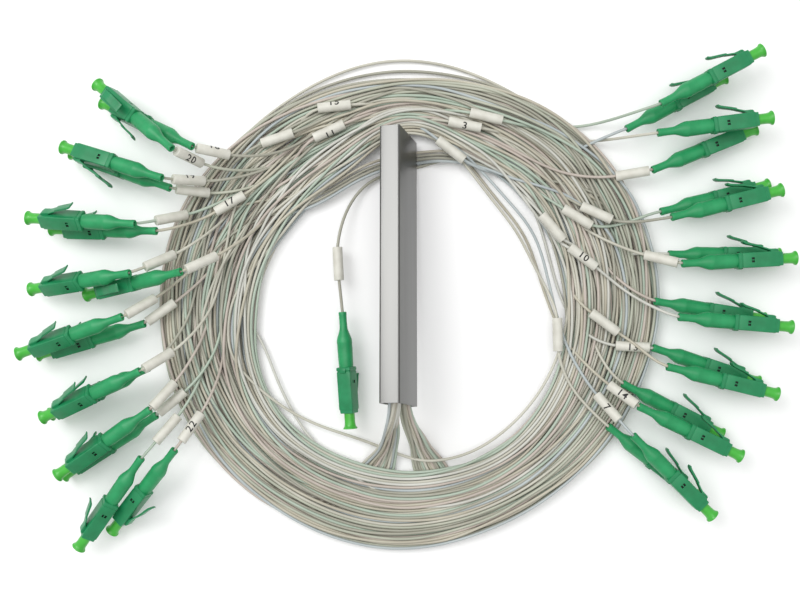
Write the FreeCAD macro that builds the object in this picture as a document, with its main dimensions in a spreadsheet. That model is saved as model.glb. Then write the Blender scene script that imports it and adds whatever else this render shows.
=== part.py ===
"""A 1 x 32 planar-lightwave-circuit fibre splitter with loose-tube pigtails and angled LC connectors.

Frame: millimetres, +Z up, +Y towards the input end. The origin is the middle of the bottom of the
metal tube's bounding box, so the tube's lowest corner and the coil both stand on z = 0.
"""

import FreeCAD, Part
import math
import os
import re
import Sketcher

Vector = FreeCAD.Vector

# Driving dimensions in millimetres and degrees. Each is a cell of the sheet "sizes".
SIZES = {
    # metal tube that holds the splitter chip
    "tube_length": 80.0,
    "tube_height": 20.0,
    "tube_thickness": 6.0,
    "tube_wall": 0.5,
    "tube_corner": 0.6,
    "tube_dip": 8.7,
    "tube_lean": 15.4,
    # what closes the two ends of the tube
    "end_recess": 0.4,
    "end_clearance": 0.05,
    "plug_depth": 6.0,
    "potting_depth": 10.0,
    # optical circuit inside the tube
    "bed_thickness": 0.6,
    "bed_margin": 2.0,
    "bare_fibre_length": 8.6,
    "chip_length": 22.0,
    "chip_width": 8.6,
    "chip_thickness": 1.0,
    "lid_thickness": 1.0,
    "facet_angle": 8.0,
    "input_block_length": 6.0,
    "input_block_width": 3.0,
    "output_block_length": 9.0,
    "ribbon_count": 4,
    "ribbon_width": 2.0,
    "ribbon_thickness": 0.3,
    "ribbon_space": 0.12,
    "bare_fibre_diameter": 0.25,
    # cords
    "cord_diameter": 0.9,
    "bunch_diameter": 4.0,
    "bunch_landing": 25.5,
    "lead_landing": 15.0,
    "coil_outer_radius": 75.0,
    "coil_inner_radius": 43.5,
    "coil_height": 4.5,
    "coil_edge": 3.0,
    "coil_notch_clearance": 2.1,
    "coil_shift_across": 2.5,
    "coil_shift_along": -11.3,
    "tail_sink": 0.5,
    "tail_grip": 0.8,
    # marker sleeve
    "sleeve_length": 10.0,
    "sleeve_diameter": 3.0,
    "sleeve_bore_clearance": 0.35,
    "sleeve_rest_clearance": 0.08,
    # connector: strain relief boot
    "boot_length": 16.5,
    "boot_tip_length": 5.0,
    "boot_cone_length": 3.6,
    "boot_tip_diameter": 2.4,
    "boot_diameter": 4.7,
    "boot_end_diameter": 4.3,
    # connector: housing with its latch arm
    "housing_length": 13.8,
    "housing_width": 4.5,
    "nose_length": 1.0,
    "nose_step": 0.3,
    "socket_width": 3.5,
    "socket_depth": 8.0,
    "latch_width": 2.4,
    "latch_setback": 0.9,
    "latch_root_length": 2.7,
    "latch_root_height": 0.8,
    "latch_thin_length": 2.2,
    "latch_arm_length": 7.4,
    "latch_rise": 2.4,
    "latch_thin": 0.45,
    "latch_step": 0.4,
    "latch_tab": 0.4,
    # connector: ferrule and dust cap
    "ferrule_diameter": 1.25,
    "ferrule_proud": 0.2,
    "cap_insert": 4.5,
    "cap_reach": 4.7,
    "cap_diameter": 3.15,
    "cap_rim_diameter": 4.3,
    "cap_flare": 1.6,
    "cap_grip_clearance": 0.06,
    "cap_end_space": 0.6,
    # how the connectors lie
    "stack_pitch": 5.5,
    "tip_rise": 1.4,
}

ROUND_SIDES = 8
SMALL_SIDES = 6
CORD_SIDES = 4
COIL_SIDES = 32

# Where each output connector lies, measured to the tip of its boot: the output's number, the bearing
# about the coil's centre, the reach beyond the coil's rim, the heading of the axis, its tilt above
# level, the latch's turn from the top towards the left of the heading, and the tip's layer in the stack.
# Then the bearing and length of the cord's tail back to the coil, and where its marker sleeve starts
# behind the boot, or None where the sleeve lies on the coil.
RIGHT_OUTPUTS = [
    ("01", 38.6, 20.4, 28, -4, 90, 1, 186, 42, None),
    ("02", 38.9, 9.3, 28, -7, 90, 0, 184, 32, None),
    ("03", 34.7, 14.6, 8, -4, 90, 1, 185, 38, None),
    ("04", 29.0, 8.9, 22, -7, 90, 0, 189, 24, 0.8),
    ("05", 18.6, 7.0, 14, -6, 90, 1, 174, 14, None),
    ("06", 20.4, 5.9, 14, -7, 90, 0, 172, 20, None),
    ("08", 8.8, 6.8, 3, -6, 90, 1, 165, 26, 0.8),
    ("09", 11.2, 4.7, 0, -7, 90, 0, 158, 18, None),
    ("10", -2.3, 4.9, -5, -6, 90, 1, 160, 22, None),
    ("11", 1.1, -0.9, -9, -7, 90, 0, 155, 16, None),
    ("12", -13.1, 3.5, -14, -6, 90, 1, 175, 15, None),
    ("13", -9.6, -0.5, -18, -7, 90, 0, 178, 26, 0.6),
    ("14", -23.4, -0.8, -26, -6, 90, 1, 143, 26, 0.8),
    ("15", -19.8, -6.5, -27, -7, 90, 0, 140, 14, None),
    ("07", -29.8, 1.5, -45, -6, 90, 1, 130, 24, 6.0),
    ("16", -30.9, -4.9, -38, -7, 90, 0, 135, 14, None),
]
LEFT_OUTPUTS = [
    ("20", 146.2, 5.9, 140, -22, 10, 2.8, -24, 16, 1.0),
    ("18", 143.4, 2.7, 153, -20, 80, 1.75, -10, 28, 1.0),
    ("19", 152.4, 5.0, 162, -17, 80, 2.05, 0, 20, 2.5),
    ("21", 153.5, 2.9, 160, -15, 90, 0.95, -5, 17, 1.0),
    ("23", 163.2, 7.4, 176, -14, -50, 1.95, 15, 20, 6.0),
    ("17", 163.3, 1.7, 178, -15, -60, 1.2, 10, 18, None),
    ("24", 173.2, 5.9, 188, -20, -50, 2.0, 27, 24, 5.0),
    ("25", 171.3, -9.0, 192, -24, 5, 2.2, 27, 34, 1.0),
    ("27", 182.1, 8.2, 199, -10, -50, 1.5, 33, 24, 0.8),
    ("28", 183.8, 3.5, 196, -7, -70, 0.1, 36, 33, 1.2),
    ("29", 193.6, 4.7, 205, -13, -50, 1.9, 33, 24, 0.8),
    ("30", 193.4, 3.5, 205, -11, -70, 0.7, 45, 16, None),
    ("31", 201.9, 6.4, 215, -6, -55, 1.1, 50, 24, 0.8),
    ("32", 203.5, 6.7, 213, -7, -80, 0, 40, 33, 1.0),
    ("26", 209.7, 14.9, 234, -10, -60, 1.1, 50, 32, 6.0),
    ("22", 211.7, 5.0, 231, -17, 75, 1.3, 56, 32, 3.0),
]

# Marker sleeves that lie on the coil: bearing, distance inside the coil's rim, direction.
COIL_SLEEVES = [
    (72.4, 17.8, -11),
    (67.0, 13.2, -14),
    (74.2, 26.4, -38),
    (26.0, 11.6, -26),
    (27.5, 17.4, -33),
    (15.4, 20.1, -37),
    (28.5, 25.4, -51),
    (-10.4, 29.0, -90),
    (-4.9, 15.4, -36),
    (109.8, 11.1, 4),
    (114.6, 17.3, 24),
    (128.0, 11.1, 18),
    (149.8, 13.6, 31),
]

# The input connector lies inside the coil: boot tip, heading, tilt and latch turn.
INPUT_TIP = (-16.9, -13.1, 6.6)
INPUT_HEADING = -86
INPUT_TILT = 1.5
INPUT_LATCH = 155
# The input cord's tail, from the boot's tip to the inside of the coil.
INPUT_TAIL = [
    (-17.8, -6.0, 6.5),
    (-18.9, 8.0, 5.4),
    (-16.6, 20.0, 4.2),
    (-11.0, 29.6, 3.2),
    (-4.2, 35.6, 2.4),
]
INPUT_SLEEVE_RUN = 1
INPUT_SLEEVE_START = 1.0

doc = FreeCAD.newDocument("fibre_splitter")
sheet = doc.addObject("Spreadsheet::Sheet", "sizes")
for row, (name, number) in enumerate(SIZES.items(), start=1):
    sheet.set(f"A{row}", name)
    sheet.set(f"B{row}", str(number))
    sheet.setAlias(f"B{row}", name)
doc.recompute()

parts = []


def bound(expression):
    """The expression with each size's name pointing to its cell."""
    return re.sub(
        r"[a-z_]+",
        lambda word: "sizes." + word.group() if word.group() in SIZES else word.group(),
        expression,
    )


def value(expression):
    """What an expression of sizes comes to now."""
    return float(sheet.evalExpression(bound(expression)))


def keep(item, label):
    """Make an object one of the part's named pieces."""
    item.Label = label
    parts.append(item)
    return item


def origin_plane(body, role):
    return next(plane for plane in body.Origin.OriginFeatures if plane.Role == role)


def outline(body, name, role, points, loops=()):
    """A closed sketch through points given as pairs of expressions, with any inner loops."""
    sketch = body.newObject("Sketcher::SketchObject", name)
    sketch.AttachmentSupport = [(origin_plane(body, role), "")]
    sketch.MapMode = "FlatFace"
    for loop in [points, *loops]:
        first = sketch.GeometryCount
        places = [Vector(value(x), value(y), 0) for x, y in loop]
        count = len(loop)
        for i in range(count):
            line = Part.LineSegment(places[i], places[(i + 1) % count])
            sketch.addGeometry(line, False)
        for i in range(count):
            after = first + (i + 1) % count
            sketch.addConstraint(Sketcher.Constraint("Coincident", first + i, 2, after, 1))
        for i, (x, y) in enumerate(loop):
            for kind, expression in (("DistanceX", x), ("DistanceY", y)):
                rule = Sketcher.Constraint(kind, -1, 1, first + i, 1, value(expression))
                index = sketch.addConstraint(rule)
                label = f"{kind}_{first + i}"
                sketch.renameConstraint(index, label)
                sketch.setExpression(f"Constraints.{label}", bound(expression))
    return sketch


def pad(body, name, sketch, length):
    """Pad a sketch equally to both sides of its plane."""
    feature = body.newObject("PartDesign::Pad", name)
    feature.Profile = sketch
    feature.Midplane = True
    feature.setExpression("Length", bound(length))
    return feature


def slab(label, role, points, width):
    """A body that is one outline padded to a width."""
    body = doc.addObject("PartDesign::Body", label)
    sketch = outline(body, f"{label}_outline", role, points)
    pad(body, f"{label}_pad", sketch, width)
    return body


def ring_corners(sides, across_flats, height=0.0):
    """The corners of a regular polygon about the Z axis, with a flat side towards +X."""
    reach = across_flats / 2 / math.cos(math.pi / sides)
    turns = [2 * math.pi * (i + 0.5) / sides for i in range(sides)]
    return [Vector(reach * math.cos(t), reach * math.sin(t), height) for t in turns]


def flat_loft(name, sides, rings):
    """A flat-sided loft up the Z axis through (height, diameter across flats) expressions."""
    levels = [ring_corners(sides, value(across), value(height)) for height, across in rings]
    faces = [levels[0], levels[-1]]
    for below, above in zip(levels, levels[1:]):
        for i in range(sides):
            j = (i + 1) % sides
            faces.append([below[i], below[j], above[j], above[i]])
    shell = Part.Shell([Part.Face(Part.makePolygon(face + face[:1])) for face in faces])
    solid = Part.Solid(shell)
    if solid.Volume < 0:
        solid.reverse()
    loft = doc.addObject("Part::Feature", name)
    loft.Shape = solid
    return loft


def cut(name, base, tool):
    result = doc.addObject("Part::Cut", name)
    result.Base = base
    result.Tool = tool
    return result


def placed(form, name, placement):
    """A copy of a form, linked to it, at a placement."""
    copy = doc.addObject("App::Link", name)
    copy.LinkedObject = form
    copy.Placement = placement
    return copy


def group(label, copies):
    """Separate solids that share one node."""
    together = doc.addObject("Part::Compound", label)
    together.Links = copies
    return keep(together, label)


def shaped(label, shape):
    feature = doc.addObject("Part::Feature", label)
    feature.Shape = shape
    return keep(feature, label)


# ---------------------------------------------------------------- metal tube and what it holds

HALF_LENGTH = "tube_length / 2"
HALF_INSIDE = "(tube_thickness / 2 - tube_wall)"
INSIDE_HEIGHT = "(tube_height - 2 * tube_wall)"
SLANT = "tan(facet_angle * 1 deg)"


def rectangle(half_x, half_y):
    return [
        (f"-({half_x})", f"-({half_y})"),
        (half_x, f"-({half_y})"),
        (half_x, half_y),
        (f"-({half_x})", half_y),
    ]


def make_tube():
    """The drawn rectangular tube, with rounded outer edges."""
    body = doc.addObject("PartDesign::Body", "splitter_tube")
    inside = rectangle(HALF_INSIDE, f"{INSIDE_HEIGHT} / 2")
    section = outline(
        body, "tube_section", "XZ_Plane", rectangle("tube_thickness / 2", "tube_height / 2"), [inside]
    )
    drawn = pad(body, "tube_pad", section, "tube_length")
    doc.recompute()
    outer_x = value("tube_thickness / 2")
    corners = [
        f"Edge{i}"
        for i, edge in enumerate(drawn.Shape.Edges, start=1)
        if abs(edge.tangentAt(edge.FirstParameter).y) > 0.99
        and abs(abs(edge.CenterOfMass.x) - outer_x) < 1e-6
    ]
    rounding = body.newObject("PartDesign::Fillet", "tube_edges")
    rounding.Base = (drawn, corners)
    rounding.setExpression("Radius", bound("tube_corner"))
    doc.recompute()
    return keep(body, "splitter_tube")


tube = make_tube()

# The tube stands on one narrow side, leans, and dips towards its input end.
tube_turn = FreeCAD.Rotation(Vector(1, 0, 0), -value("tube_dip")) * FreeCAD.Rotation(
    Vector(0, 1, 0), -value("tube_lean")
)
turned_box = tube.Shape.transformed(FreeCAD.Placement(Vector(), tube_turn).toMatrix())
turned_box = turned_box.optimalBoundingBox(False, False)
tube_frame = FreeCAD.Placement(
    Vector(-turned_box.Center.x, -turned_box.Center.y, -turned_box.ZMin), tube_turn
)
tube.Placement = tube_frame


def in_tube(label, role, points, width):
    """A piece inside the tube, drawn in the tube's own frame."""
    body = slab(label, role, points, width)
    body.Placement = tube_frame
    return keep(body, label)


def block_between(low, high):
    """A rectangle across the inside of the tube, from low to high along it."""
    half = f"({HALF_INSIDE} - end_clearance)"
    return [(f"-{half}", low), (half, low), (half, high), (f"-{half}", high)]


END_HEIGHT = f"{INSIDE_HEIGHT} - 2 * end_clearance"
PLUG_INNER = f"{HALF_LENGTH} - end_recess - plug_depth"
PLUG_OUTER = f"{HALF_LENGTH} - end_recess"
POTTING_INNER = f"-({HALF_LENGTH}) + end_recess + potting_depth"
POTTING_OUTER = f"-({HALF_LENGTH}) + end_recess"
in_tube("input_end_plug", "XY_Plane", block_between(PLUG_INNER, PLUG_OUTER), END_HEIGHT)
in_tube("output_end_potting", "XY_Plane", block_between(POTTING_OUTER, POTTING_INNER), END_HEIGHT)

# The chip, its lid and the two fibre blocks lie on a soft bed. Their mating faces slant.
BED_TOP = f"(-{HALF_INSIDE} + bed_thickness)"
CHIP_TOP = f"({BED_TOP} + chip_thickness)"
LID_TOP = f"({CHIP_TOP} + lid_thickness)"
INPUT_BLOCK_END = f"({PLUG_INNER} - bare_fibre_length)"
CHIP_END = f"({INPUT_BLOCK_END} - input_block_length)"
CHIP_START = f"({CHIP_END} - chip_length)"
OUTPUT_BLOCK_END = f"({CHIP_START} - output_block_length)"


def slanted(along, across):
    """A place on a mating face that crosses the tube's axis at the facet angle."""
    return f"{along} + ({across}) * {SLANT}"


def layer(bottom, top):
    """A slice of the chip between two heights above the tube's wall, slanted at both ends."""
    return [
        (bottom, slanted(CHIP_START, bottom)),
        (top, slanted(CHIP_START, top)),
        (top, slanted(CHIP_END, top)),
        (bottom, slanted(CHIP_END, bottom)),
    ]


in_tube(
    "chip_bed",
    "XY_Plane",
    [
        (f"-{HALF_INSIDE}", f"{OUTPUT_BLOCK_END} - bed_margin"),
        (BED_TOP, f"{OUTPUT_BLOCK_END} - bed_margin"),
        (BED_TOP, f"{INPUT_BLOCK_END} + bed_margin"),
        (f"-{HALF_INSIDE}", f"{INPUT_BLOCK_END} + bed_margin"),
    ],
    "chip_width + 2 * bed_margin",
)
in_tube("waveguide_chip", "XY_Plane", layer(BED_TOP, CHIP_TOP), "chip_width")
in_tube("chip_lid", "XY_Plane", layer(CHIP_TOP, LID_TOP), "chip_width")
in_tube(
    "input_fibre_block",
    "XY_Plane",
    [
        (BED_TOP, slanted(CHIP_END, BED_TOP)),
        (LID_TOP, slanted(CHIP_END, LID_TOP)),
        (LID_TOP, INPUT_BLOCK_END),
        (BED_TOP, INPUT_BLOCK_END),
    ],
    "input_block_width",
)
in_tube(
    "output_fibre_block",
    "XY_Plane",
    [
        (BED_TOP, OUTPUT_BLOCK_END),
        (LID_TOP, OUTPUT_BLOCK_END),
        (LID_TOP, slanted(CHIP_START, LID_TOP)),
        (BED_TOP, slanted(CHIP_START, BED_TOP)),
    ],
    "chip_width",
)


def make_bare_fibre():
    """The single glass fibre from the input plug to its block."""
    fibre = doc.addObject("Part::Prism", "input_bare_fibre")
    fibre.Polygon = SMALL_SIDES
    fibre.setExpression("Circumradius", bound("bare_fibre_diameter / 2"))
    fibre.setExpression("Height", bound("bare_fibre_length"))
    lying = FreeCAD.Rotation(Vector(1, 0, 0), -90)
    start = Vector(value(CHIP_TOP), value(INPUT_BLOCK_END), 0)
    fibre.Placement = tube_frame * FreeCAD.Placement(start, lying)
    keep(fibre, "input_bare_fibre")


def make_ribbons():
    """Flat ribbons of eight fibres each, side by side from the output block to the potting."""
    strips = []
    count = int(value("ribbon_count"))
    pitch = value("ribbon_width + ribbon_space")
    for i in range(count):
        strip = doc.addObject("Part::Box", f"ribbon_{i + 1}")
        strip.setExpression("Length", bound("ribbon_thickness"))
        strip.setExpression("Width", bound(f"{OUTPUT_BLOCK_END} - ({POTTING_INNER})"))
        strip.setExpression("Height", bound("ribbon_width"))
        low = (i - count / 2) * pitch + value("ribbon_space / 2")
        corner = Vector(value(f"{CHIP_TOP} - ribbon_thickness / 2"), value(POTTING_INNER), low)
        strip.Placement = tube_frame * FreeCAD.Placement(corner, FreeCAD.Rotation())
        strips.append(strip)
    group("output_ribbons", strips)


make_bare_fibre()
make_ribbons()

# ---------------------------------------------------------------- connector forms
# Each form stands on the Z axis, which points to the connector's nose, with the latch towards +X.


def make_boot_form():
    """The rubber boot: a slim tip, a cone and a body that tapers a little to the housing."""
    return flat_loft(
        "boot_form",
        ROUND_SIDES,
        [
            ("0", "boot_tip_diameter"),
            ("boot_tip_length", "boot_tip_diameter"),
            ("boot_tip_length + boot_cone_length", "boot_diameter"),
            ("boot_length", "boot_end_diameter"),
        ],
    )


def make_housing_form():
    """The moulded housing: body, bevelled nose, square socket, and the sprung latch arm."""
    body = doc.addObject("PartDesign::Body", "housing_form")
    side = "housing_width / 2"
    bevel = "housing_length - nose_length"
    half = [
        (side, "0"),
        (side, bevel),
        (f"{side} - nose_step", "housing_length"),
    ]
    other = [(f"-({x})", z) for x, z in reversed(half)]
    profile = outline(body, "housing_profile", "XZ_Plane", half + other)
    pad(body, "housing_pad", profile, "housing_width")

    front = "housing_length - latch_setback"
    rear = f"{front} - latch_root_length"
    root_top = f"{side} + latch_root_height"
    tip = f"{rear} - latch_arm_length"
    knee = f"{rear} - latch_thin_length"
    knee_rise = "latch_rise * latch_thin_length / latch_arm_length"
    arm = [
        (f"{side} - latch_thin", front),
        (root_top, front),
        (root_top, rear),
        (f"{root_top} + {knee_rise}", knee),
        (f"{root_top} + {knee_rise} + latch_step", knee),
        (f"{root_top} + latch_rise + latch_step", tip),
        (f"{root_top} + latch_rise + latch_step + latch_tab", f"{tip} - latch_tab"),
        (f"{root_top} + latch_rise - latch_thin", f"{tip} - latch_tab"),
        (f"{root_top} - latch_thin", rear),
        (f"{side} - latch_thin", rear),
    ]
    latch = outline(body, "latch_profile", "XZ_Plane", arm)
    pad(body, "latch_pad", latch, "latch_width")

    socket = body.newObject("PartDesign::SubtractiveBox", "socket")
    socket.setExpression("Length", bound("socket_width"))
    socket.setExpression("Width", bound("socket_width"))
    socket.setExpression("Height", bound("socket_depth"))
    socket.setExpression(".Placement.Base.x", bound("-socket_width / 2"))
    socket.setExpression(".Placement.Base.y", bound("-socket_width / 2"))
    socket.setExpression(".Placement.Base.z", bound("housing_length - socket_depth"))
    doc.recompute()
    return body


def make_ferrule_form():
    """The ceramic ferrule, seated on the floor of the housing's socket."""
    return flat_loft(
        "ferrule_form",
        SMALL_SIDES,
        [("0", "ferrule_diameter"), ("socket_depth + ferrule_proud", "ferrule_diameter")],
    )


def make_cap_form():
    """The dust cap: a plug with a bore that grips the ferrule, and a flared rim to pull on."""
    outer = flat_loft(
        "cap_outer",
        ROUND_SIDES,
        [
            ("-cap_insert", "cap_diameter"),
            ("cap_reach - cap_flare", "cap_diameter"),
            ("cap_reach", "cap_rim_diameter"),
        ],
    )
    bore_size = "ferrule_diameter + 2 * cap_grip_clearance"
    bore = flat_loft(
        "cap_bore",
        SMALL_SIDES,
        [("-cap_insert - cap_end_space", bore_size), ("ferrule_proud + cap_end_space", bore_size)],
    )
    return cut("cap_form", outer, bore)


def make_sleeve_form():
    """The marker sleeve: a short tube that the cord runs through."""
    outer = flat_loft(
        "sleeve_outer", SMALL_SIDES, [("0", "sleeve_diameter"), ("sleeve_length", "sleeve_diameter")]
    )
    bore_size = "cord_diameter + 2 * sleeve_bore_clearance"
    bore = flat_loft(
        "sleeve_bore",
        CORD_SIDES,
        [("-sleeve_bore_clearance", bore_size), ("sleeve_length + sleeve_bore_clearance", bore_size)],
    )
    return cut("sleeve_form", outer, bore)


boot_form = make_boot_form()
housing_form = make_housing_form()
ferrule_form = make_ferrule_form()
cap_form = make_cap_form()
sleeve_form = make_sleeve_form()
doc.recompute()

# ---------------------------------------------------------------- coil of cords

coil_centre = Vector(value("coil_shift_across"), value("coil_shift_along"), 0)


def make_coil():
    """The flat ring in which all the cords are wound, with a notch where the tube's end lies."""
    outer = flat_loft(
        "coil_outer",
        COIL_SIDES,
        [
            ("0", "2 * (coil_outer_radius - coil_edge)"),
            ("coil_height / 3", "2 * coil_outer_radius"),
            ("coil_height * 2 / 3", "2 * coil_outer_radius"),
            ("coil_height", "2 * (coil_outer_radius - coil_edge)"),
        ],
    )
    inner = flat_loft(
        "coil_inner",
        COIL_SIDES,
        [
            ("0", "2 * (coil_inner_radius + coil_edge)"),
            ("coil_height / 3", "2 * coil_inner_radius"),
            ("coil_height * 2 / 3", "2 * coil_inner_radius"),
            ("coil_height", "2 * (coil_inner_radius + coil_edge)"),
        ],
    )
    notch = doc.addObject("Part::Box", "coil_notch")
    for side, across in (("Length", "thickness"), ("Width", "length"), ("Height", "height")):
        notch.setExpression(side, bound(f"tube_{across} + 2 * coil_notch_clearance"))
    low = Vector(
        value("-tube_thickness / 2 - coil_notch_clearance"),
        value("-tube_length / 2 - coil_notch_clearance"),
        value("-tube_height / 2 - coil_notch_clearance"),
    )
    notch.Placement = (
        FreeCAD.Placement(-coil_centre, FreeCAD.Rotation())
        * tube_frame
        * FreeCAD.Placement(low, FreeCAD.Rotation())
    )
    ring = cut("coil_ring", outer, inner)
    coil = cut("fibre_coil", ring, notch)
    coil.Placement = FreeCAD.Placement(coil_centre, FreeCAD.Rotation())
    return keep(coil, "fibre_coil")


make_coil()


def route(points):
    """Straight runs joined by tangent arcs, each as large as its two runs allow."""
    edges = []
    start = points[0]
    tightest = math.inf
    for before, here, after in zip(points, points[1:], points[2:]):
        back = before - here
        ahead = after - here
        turn = math.pi - back.getAngle(ahead)
        trim = 0.45 * min(back.Length, ahead.Length)
        radius = trim / math.tan(turn / 2)
        tightest = min(tightest, radius)
        back.normalize()
        ahead.normalize()
        bisector = (back + ahead).normalize()
        centre = here + bisector * math.hypot(radius, trim)
        enter = here + back * trim
        leave = here + ahead * trim
        edges.append(Part.LineSegment(start, enter).toShape())
        edges.append(Part.Arc(enter, centre - bisector * radius, leave).toShape())
        start = leave
    edges.append(Part.LineSegment(start, points[-1]).toShape())
    return Part.Wire(edges), tightest


def frame_at(start, axis, towards):
    """Z along an axis, and X as near as it can be to another direction."""
    side = axis.cross(towards).normalize()
    turn = FreeCAD.Rotation(side.cross(axis), side, axis, "ZXY")
    return FreeCAD.Placement(start, turn)


def frame_along(start, ahead):
    """Z along a direction that isn't upright, and X on the upper side."""
    return frame_at(start, ahead, Vector(0, 0, 1))


def tube_along(name, points, diameter, sides):
    """A cord's solid along a route, with flat sides."""
    path, tightest = route(points)
    ahead = (points[1] - points[0]).normalize()
    start = frame_along(points[0], ahead)
    corners = [start.multVec(corner) for corner in ring_corners(sides, diameter)]
    section = Part.Face(Part.makePolygon(corners + corners[:1]))
    solid = path.makePipe(section)
    spread = solid.Volume / (section.Area * path.Length)
    print(f"{name}: length {path.Length:.1f}, tightest radius {tightest:.1f}, volume ratio {spread:.3f}")
    return solid


# ---------------------------------------------------------------- connectors where they lie


def direction(bearing, tilt=0.0):
    flat = math.cos(math.radians(tilt))
    return Vector(
        flat * math.cos(math.radians(bearing)),
        flat * math.sin(math.radians(bearing)),
        math.sin(math.radians(tilt)),
    )


def connector_frame(tip, heading, tilt, latch):
    """Z along the connector's axis, and X towards its latch, turned from the top to the left."""
    up = direction(heading, tilt + 90)
    left = direction(heading + 90)
    to_latch = up * math.cos(math.radians(latch)) + left * math.sin(math.radians(latch))
    return frame_at(tip, direction(heading, tilt), to_latch)


def up_axis(frame, distance):
    return frame * FreeCAD.Placement(Vector(0, 0, distance), FreeCAD.Rotation())


HOUSING_START = value("boot_length")
NOSE = value("boot_length + housing_length")
SOCKET_FLOOR = value("boot_length + housing_length - socket_depth")
TIP_HEIGHT = value("coil_height + sleeve_diameter / 2 + tip_rise")
SLEEVE_HEIGHT = value("coil_height + sleeve_diameter / 2 + sleeve_rest_clearance")


def place_connector(name, frame):
    """The pieces of one connector, apart from its cap."""
    return {
        "boot": placed(boot_form, f"{name}_boot", frame),
        "housing": placed(housing_form, f"{name}_housing", up_axis(frame, HOUSING_START)),
        "ferrule": placed(ferrule_form, f"{name}_ferrule", up_axis(frame, SOCKET_FLOOR)),
    }


def place_cap(label, frame):
    keep(placed(cap_form, label, up_axis(frame, NOSE)), label)


def place_sleeve(name, start, ahead):
    return placed(sleeve_form, name, frame_along(start, ahead))


def tail_points(tip, bearing, length):
    """From inside the boot's tip back to the coil, where the tail sinks in."""
    end = tip + direction(bearing) * length
    end.z = value("coil_height - tail_sink")
    ahead = (end - tip).normalize()
    return [tip - ahead * value("tail_grip"), end]


sleeves = []


def place_outputs(side, outputs):
    """All the connectors on one side of the coil, their tails, and the sleeves near their boots."""
    pieces = []
    tails = []
    for number, bearing, beyond, heading, tilt, latch, level, back, length, sleeve in outputs:
        name = f"output_{number}"
        tip = coil_centre + direction(bearing) * (value("coil_outer_radius") + beyond)
        tip.z = TIP_HEIGHT + level * value("stack_pitch")
        frame = connector_frame(tip, heading, tilt, latch)
        pieces.append(place_connector(name, frame))
        place_cap(f"output_cap_{number}", frame)
        points = tail_points(tip, back, length)
        tails.append(tube_along(f"{name}_tail", points, value("cord_diameter"), CORD_SIDES))
        if sleeve is not None:
            ahead = (points[1] - points[0]).normalize()
            sleeves.append(place_sleeve(f"{name}_sleeve", tip + ahead * sleeve, ahead))
    shaped(f"output_tails_{side}", Part.makeCompound(tails))
    return pieces


outputs = place_outputs("right", RIGHT_OUTPUTS) + place_outputs("left", LEFT_OUTPUTS)
group("output_boots", [pieces["boot"] for pieces in outputs])
group("output_housings", [pieces["housing"] for pieces in outputs])
group("output_ferrules", [pieces["ferrule"] for pieces in outputs])

for index, (bearing, inside, heading) in enumerate(COIL_SLEEVES, start=1):
    middle = coil_centre + direction(bearing) * (value("coil_outer_radius") - inside)
    middle.z = SLEEVE_HEIGHT
    start = middle - direction(heading) * value("sleeve_length / 2")
    sleeves.append(place_sleeve(f"coil_sleeve_{index}", start, direction(heading)))

# ---------------------------------------------------------------- input cord and its connector

input_frame = connector_frame(Vector(*INPUT_TIP), INPUT_HEADING, INPUT_TILT, INPUT_LATCH)
for kind, piece in place_connector("input", input_frame).items():
    keep(piece, f"input_{kind}")
place_cap("input_cap", input_frame)

inside_boot = up_axis(input_frame, value("tail_grip")).Base
input_points = [inside_boot] + [Vector(*point) for point in INPUT_TAIL]
shaped("input_tail", tube_along("input_tail", input_points, value("cord_diameter"), CORD_SIDES))
run_start = input_points[INPUT_SLEEVE_RUN]
run_ahead = (input_points[INPUT_SLEEVE_RUN + 1] - run_start).normalize()
sleeves.append(place_sleeve("input_sleeve", run_start + run_ahead * INPUT_SLEEVE_START, run_ahead))
group("marker_sleeves", sleeves)

# ---------------------------------------------------------------- cords at the tube's two ends


def from_tube(x, y, z):
    """A point given in the tube's own frame."""
    return tube_frame.multVec(Vector(x, y, z))


def coil_point(bearing, inside, height):
    """A point in the coil: bearing, distance inside the rim, and height."""
    point = coil_centre + direction(bearing) * (value("coil_outer_radius") - inside)
    point.z = height
    return point


mouth = value(POTTING_OUTER)
lead_mouth = value(PLUG_OUTER)
level = value("tube_height / 4")
upper_bunch = [
    from_tube(0, mouth, level),
    from_tube(0, mouth - 7, level),
    Vector(-3.0, -53.0, 13.0),
    coil_point(-99.5, value("bunch_landing"), 2.4),
]
lower_bunch = [
    from_tube(0, mouth, -level),
    from_tube(0, mouth - 6, -level),
    Vector(6.5, -52.0, 7.0),
    coil_point(-81.0, value("bunch_landing"), 2.4),
]
input_lead = [
    from_tube(0, lead_mouth, 0),
    from_tube(0, lead_mouth + 4, 0),
    Vector(-1.0, 46.5, 6.2),
    coil_point(93.5, value("lead_landing"), 2.6),
]
bunch_size = value("bunch_diameter")
shaped("output_bunch_left", tube_along("left bunch", upper_bunch, bunch_size, SMALL_SIDES))
shaped("output_bunch_right", tube_along("right bunch", lower_bunch, bunch_size, SMALL_SIDES))
shaped("input_lead", tube_along("input_lead", input_lead, value("cord_diameter"), CORD_SIDES))

# ---------------------------------------------------------------- test and write

doc.recompute()
for item in doc.Objects:
    if "Invalid" in item.State or "Error" in item.State:
        raise RuntimeError(f"{item.Label} failed: {item.State}")
os.makedirs("parts", exist_ok=True)
for item in parts:
    shape = Part.getShape(item)
    if shape.isNull() or not shape.isValid() or not shape.Solids:
        raise RuntimeError(f"{item.Label} has no valid shape")
    shape.exportStep(f"parts/{item.Label}.step")
print(f"{len(parts)} pieces, {sum(len(Part.getShape(item).Solids) for item in parts)} solids")
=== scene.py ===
"""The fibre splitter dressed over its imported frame: cords, connectors, markers, tube, floor and light."""

import math
import random

import bmesh
import bpy
import numpy as np
from mathutils import Matrix, Vector


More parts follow.
